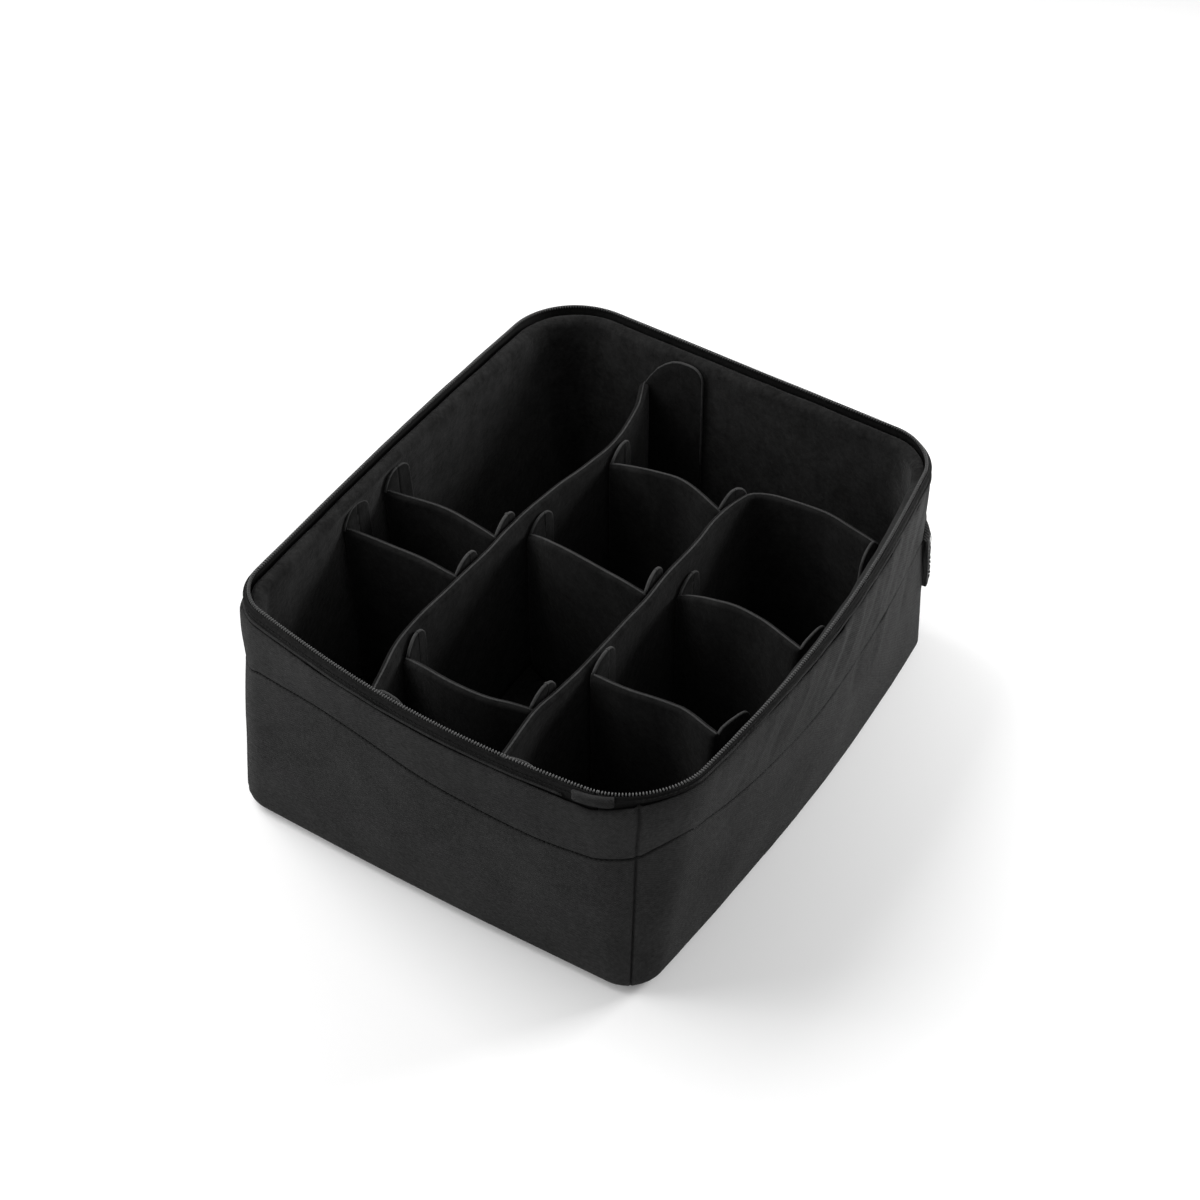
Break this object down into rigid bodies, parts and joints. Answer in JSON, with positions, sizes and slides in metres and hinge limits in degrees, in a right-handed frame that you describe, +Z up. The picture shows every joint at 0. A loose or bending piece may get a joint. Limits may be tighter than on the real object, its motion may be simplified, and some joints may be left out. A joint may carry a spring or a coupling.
{
  "type": "camera bag insert",
  "caption": "Open padded insert for a camera bag: soft nylon case with a zip round its rim and movable hook-and-loop dividers.",
  "frame": {"origin": "middle of the flat base, on the surface that the insert stands on", "axes": "+Z up, +X towards the right wall, +Y towards the back wall that carries the handle"},
  "size_m": [0.3167, 0.3828, 0.156],
  "materials": {
    "outer_nylon": "fine woven charcoal nylon, matte",
    "zip_tape": "woven zip tape, near black",
    "zip_teeth": "fine moulded grey zip teeth",
    "webbing": "ribbed near-black webbing",
    "lining_velour": "brushed loop velour, near black",
    "foam": "closed-cell foam padding",
    "base_board": "plain stiffening board",
    "divider_velour": "brushed loop velour over foam, bound edges",
    "flap_velour": "brushed velour with hook tape behind"
  },
  "bodies": {
    "root": {"base_outer": "outer_nylon", "base_board": "base_board", "base_foam": "foam", "base_lining": "lining_velour", "outer_front": "outer_nylon", "outer_right": "outer_nylon", "outer_back": "outer_nylon", "outer_left": "outer_nylon", "band_front": "outer_nylon", "band_right": "outer_nylon", "band_back": "outer_nylon", "band_left": "outer_nylon", "foam_front": "foam", "foam_right": "foam", "foam_back": "foam", "foam_left": "foam", "lining_front": "lining_velour", "lining_right": "lining_velour", "lining_back": "lining_velour", "lining_left": "lining_velour", "zip_tape": "zip_tape", "zip_teeth": "zip_teeth", "zip_end_tab": "zip_tape", "handle_webbing": "webbing"},
    "long_left": {"long_left_panel": "divider_velour"},
    "long_right": {"long_right_panel": "divider_velour"},
    "left_front": {"left_front_panel": "divider_velour"},
    "left_back": {"left_back_panel": "divider_velour"},
    "middle_front": {"middle_front_panel": "divider_velour"},
    "middle_centre": {"middle_centre_panel": "divider_velour"},
    "middle_back": {"middle_back_panel": "divider_velour"},
    "right_front": {"right_front_panel": "divider_velour"},
    "right_back": {"right_back_panel": "divider_velour"},
    "long_left_start_flap": {"long_left_flap_start": "flap_velour"},
    "long_left_end_flap": {"long_left_flap_end": "flap_velour"},
    "long_right_start_flap": {"long_right_flap_start": "flap_velour"},
    "long_right_end_flap": {"long_right_flap_end": "flap_velour"},
    "left_front_start_flap": {"left_front_flap_start": "flap_velour"},
    "left_front_end_flap": {"left_front_flap_end": "flap_velour"},
    "left_back_start_flap": {"left_back_flap_start": "flap_velour"},
    "left_back_end_flap": {"left_back_flap_end": "flap_velour"},
    "middle_front_start_flap": {"middle_front_flap_start": "flap_velour"},
    "middle_front_end_flap": {"middle_front_flap_end": "flap_velour"},
    "middle_centre_start_flap": {"middle_centre_flap_start": "flap_velour"},
    "middle_centre_end_flap": {"middle_centre_flap_end": "flap_velour"},
    "middle_back_start_flap": {"middle_back_flap_start": "flap_velour"},
    "middle_back_end_flap": {"middle_back_flap_end": "flap_velour"},
    "right_front_start_flap": {"right_front_flap_start": "flap_velour"},
    "right_front_end_flap": {"right_front_flap_end": "flap_velour"},
    "right_back_start_flap": {"right_back_flap_start": "flap_velour"},
    "right_back_end_flap": {"right_back_flap_end": "flap_velour"}
  },
  "joints": [
    {"name": "long_left_lift", "type": "slide", "parent": "root", "child": "long_left", "axis": [0, 0, 1], "range_m": [0, 0.16]},
    {"name": "long_right_lift", "type": "slide", "parent": "root", "child": "long_right", "axis": [0, 0, 1], "range_m": [0, 0.16]},
    {"name": "left_front_lift", "type": "slide", "parent": "root", "child": "left_front", "axis": [0, 0, 1], "range_m": [0, 0.16]},
    {"name": "left_back_lift", "type": "slide", "parent": "root", "child": "left_back", "axis": [0, 0, 1], "range_m": [0, 0.16]},
    {"name": "middle_front_lift", "type": "slide", "parent": "root", "child": "middle_front", "axis": [0, 0, 1], "range_m": [0, 0.16]},
    {"name": "middle_centre_lift", "type": "slide", "parent": "root", "child": "middle_centre", "axis": [0, 0, 1], "range_m": [0, 0.16]},
    {"name": "middle_back_lift", "type": "slide", "parent": "root", "child": "middle_back", "axis": [0, 0, 1], "range_m": [0, 0.16]},
    {"name": "right_front_lift", "type": "slide", "parent": "root", "child": "right_front", "axis": [0, 0, 1], "range_m": [0, 0.16]},
    {"name": "right_back_lift", "type": "slide", "parent": "root", "child": "right_back", "axis": [0, 0, 1], "range_m": [0, 0.16]},
    {"name": "long_left_start_peel", "type": "hinge", "parent": "long_left", "child": "long_left_start_flap", "pos_m": [-0.03411, -0.16164, 0.02], "axis": [0.0141, -0.0399, 0.9991], "range_deg": [0, 55]},
    {"name": "long_left_end_peel", "type": "hinge", "parent": "long_left", "child": "long_left_end_flap", "pos_m": [-0.06454, 0.16136, 0.02], "axis": [0.025, -0.05, -0.9984], "range_deg": [0, 45]},
    {"name": "long_right_start_peel", "type": "hinge", "parent": "long_right", "child": "long_right_start_flap", "pos_m": [0.05314, -0.16211, 0.02], "axis": [0.0098, -0.0738, 0.9972], "range_deg": [0, 80]},
    {"name": "long_right_end_peel", "type": "hinge", "parent": "long_right", "child": "long_right_end_flap", "pos_m": [0.12852, 0.08907, 0.02], "axis": [-0.0445, 0.0138, -0.9989], "range_deg": [0, 80]},
    {"name": "left_front_start_peel", "type": "hinge", "parent": "left_front", "child": "left_front_start_flap", "pos_m": [-0.12874, -0.05887, 0.02], "axis": [0.0024, -0.0004, -1], "range_deg": [0, 75]},
    {"name": "left_front_end_peel", "type": "hinge", "parent": "left_front", "child": "left_front_end_flap", "pos_m": [-0.05839, -0.05644, 0.02], "axis": [0, 0, 1], "range_deg": [0, 75]},
    {"name": "left_back_start_peel", "type": "hinge", "parent": "left_back", "child": "left_back_start_flap", "pos_m": [-0.12981, -0.01624, 0.02], "axis": [0.0145, 0.0015, -0.9999], "range_deg": [0, 70]},
    {"name": "left_back_end_peel", "type": "hinge", "parent": "left_back", "child": "left_back_end_flap", "pos_m": [-0.05991, -0.01555, 0.02], "axis": [0, 0, 1], "range_deg": [0, 65]},
    {"name": "middle_front_start_peel", "type": "hinge", "parent": "middle_front", "child": "middle_front_start_flap", "pos_m": [-0.04296, -0.1227, 0.02], "axis": [0, 0, -1], "range_deg": [0, 80]},
    {"name": "middle_front_end_peel", "type": "hinge", "parent": "middle_front", "child": "middle_front_end_flap", "pos_m": [0.03935, -0.12342, 0.02], "axis": [0, 0, 1], "range_deg": [0, 80]},
    {"name": "middle_centre_start_peel", "type": "hinge", "parent": "middle_centre", "child": "middle_centre_start_flap", "pos_m": [-0.04736, 0.0068, 0.02], "axis": [0, 0, -1], "range_deg": [0, 80]},
    {"name": "middle_centre_end_peel", "type": "hinge", "parent": "middle_centre", "child": "middle_centre_end_flap", "pos_m": [0.0406, -0.01083, 0.02], "axis": [0, 0, 1], "range_deg": [0, 65]},
    {"name": "middle_back_start_peel", "type": "hinge", "parent": "middle_back", "child": "middle_back_start_flap", "pos_m": [-0.03983, 0.08387, 0.02], "axis": [0, 0, -1], "range_deg": [0, 70]},
    {"name": "middle_back_end_peel", "type": "hinge", "parent": "middle_back", "child": "middle_back_end_flap", "pos_m": [0.03887, 0.07718, 0.02], "axis": [0, 0, 1], "range_deg": [0, 65]},
    {"name": "right_front_start_peel", "type": "hinge", "parent": "right_front", "child": "right_front_start_flap", "pos_m": [0.05528, -0.08374, 0.02], "axis": [0, 0, -1], "range_deg": [0, 80]},
    {"name": "right_front_end_peel", "type": "hinge", "parent": "right_front", "child": "right_front_end_flap", "pos_m": [0.12974, -0.08765, 0.02], "axis": [0.1048, -0.0244, 0.9942], "range_deg": [0, 60]},
    {"name": "right_back_start_peel", "type": "hinge", "parent": "right_back", "child": "right_back_start_flap", "pos_m": [0.05234, 0.01246, 0.02], "axis": [0, 0, -1], "range_deg": [0, 80]},
    {"name": "right_back_end_peel", "type": "hinge", "parent": "right_back", "child": "right_back_end_flap", "pos_m": [0.13148, -0.0036, 0.02], "axis": [0.0922, -0.0265, 0.9954], "range_deg": [0, 55]}
  ]
}
